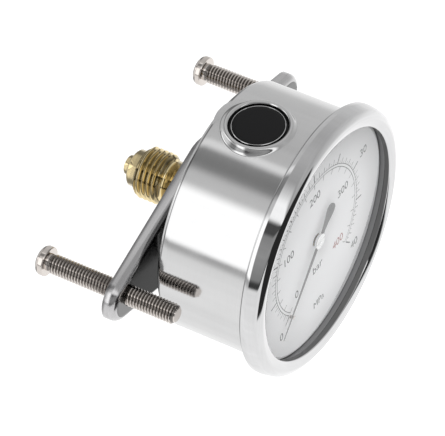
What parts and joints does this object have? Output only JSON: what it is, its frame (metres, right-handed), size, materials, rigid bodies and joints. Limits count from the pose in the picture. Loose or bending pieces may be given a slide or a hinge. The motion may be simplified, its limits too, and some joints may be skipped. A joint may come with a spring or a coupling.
{
  "type": "pressure gauge",
  "caption": "Liquid-filled dial pressure gauge with a centre-back pipe connection, a crimped bezel, a fill plug, and a clamp plate with two long screws for panel mounting.",
  "frame": {"origin": "on the connection's axis, halfway along its pipe thread", "axes": "+Y from the dial to the connection, along the gauge's axis; +Z towards the top of the dial, where the fill plug is; +X towards the dial's right as its reader sees it"},
  "size_m": [0.0866, 0.0578, 0.068],
  "materials": {
    "satin_steel": "satin, brushed round the case",
    "polished_steel": "polished",
    "screw_steel": "bright",
    "window": "clear",
    "gasket_rubber": "matt",
    "plug_rubber": "satin",
    "dial_white": "matt white",
    "pointer_black": "matt black",
    "hub_metal": "turned",
    "socket_brass": "turned, bright",
    "tube_bronze": "drawn",
    "movement_brass": "stamped"
  },
  "bodies": {
    "gauge": {"case_shell": "satin_steel", "bezel_ring": "polished_steel", "window": "window", "window_gasket": "gasket_rubber", "dial_plate": "dial_white", "dial_post_left": "movement_brass", "dial_post_right": "movement_brass", "zero_stop_pin": "screw_steel", "connection_socket": "socket_brass", "socket_seal": "gasket_rubber", "restrictor_screw": "socket_brass", "bourdon_tube": "tube_bronze", "movement_front_plate": "movement_brass", "movement_back_plate": "movement_brass", "pillar_upper_left": "movement_brass", "pillar_upper_right": "movement_brass", "pillar_lower_left": "movement_brass", "pillar_lower_right": "movement_brass", "movement_screw_upper": "screw_steel", "movement_screw_lower": "screw_steel", "hairspring": "tube_bronze", "hairspring_stud": "movement_brass", "clamp_plate": "polished_steel", "plate_screw_left": "screw_steel", "plate_screw_right": "screw_steel"},
    "tube_tip": {"tube_end_piece": "tube_bronze", "tip_pin": "screw_steel", "link": "movement_brass", "tail_pin": "screw_steel"},
    "sector": {"sector_gear": "movement_brass", "sector_arbor": "screw_steel"},
    "pointer_shaft": {"pinion_arbor": "screw_steel", "pointer": "pointer_black", "pointer_hub": "hub_metal", "hairspring_collet": "movement_brass"},
    "fill_plug": {"fill_plug": "plug_rubber"},
    "clamp_screw_left": {"clamp_screw_left": "screw_steel"},
    "clamp_screw_right": {"clamp_screw_right": "screw_steel"}
  },
  "joints": [
    {"name": "tube_tip_travel", "type": "slide", "parent": "gauge", "child": "tube_tip", "axis": [0.9033, 0, 0.4289], "range_m": [0, 0.00282], "stiffness_N_per_m": 800, "deforming": ["bourdon_tube"]},
    {"name": "sector_swing", "type": "hinge", "parent": "gauge", "child": "sector", "pos_m": [0, -0.03345, -0.0147], "axis": [0, 1, 0], "range_deg": [-45, 0]},
    {"name": "pointer_turn", "type": "hinge", "parent": "gauge", "child": "pointer_shaft", "pos_m": [0, -0.03345, 0], "axis": [0, 1, 0], "range_deg": [0, 270], "deforming": ["hairspring"]},
    {"name": "fill_plug_pull", "type": "slide", "parent": "gauge", "child": "fill_plug", "axis": [0, 0, 1], "range_m": [0, 0.006]},
    {"name": "clamp_screw_left_feed", "type": "slide", "parent": "gauge", "child": "clamp_screw_left", "axis": [0, -1, 0], "range_m": [-0.012, 0.0135]},
    {"name": "clamp_screw_right_feed", "type": "slide", "parent": "gauge", "child": "clamp_screw_right", "axis": [0, -1, 0], "range_m": [-0.012, 0.0135]}
  ],
  "couplings": [
    {"joint": "sector_swing", "follows": "tube_tip_travel", "rad_per_m": -278.83},
    {"joint": "pointer_turn", "follows": "tube_tip_travel", "rad_per_m": 1673}
  ]
}
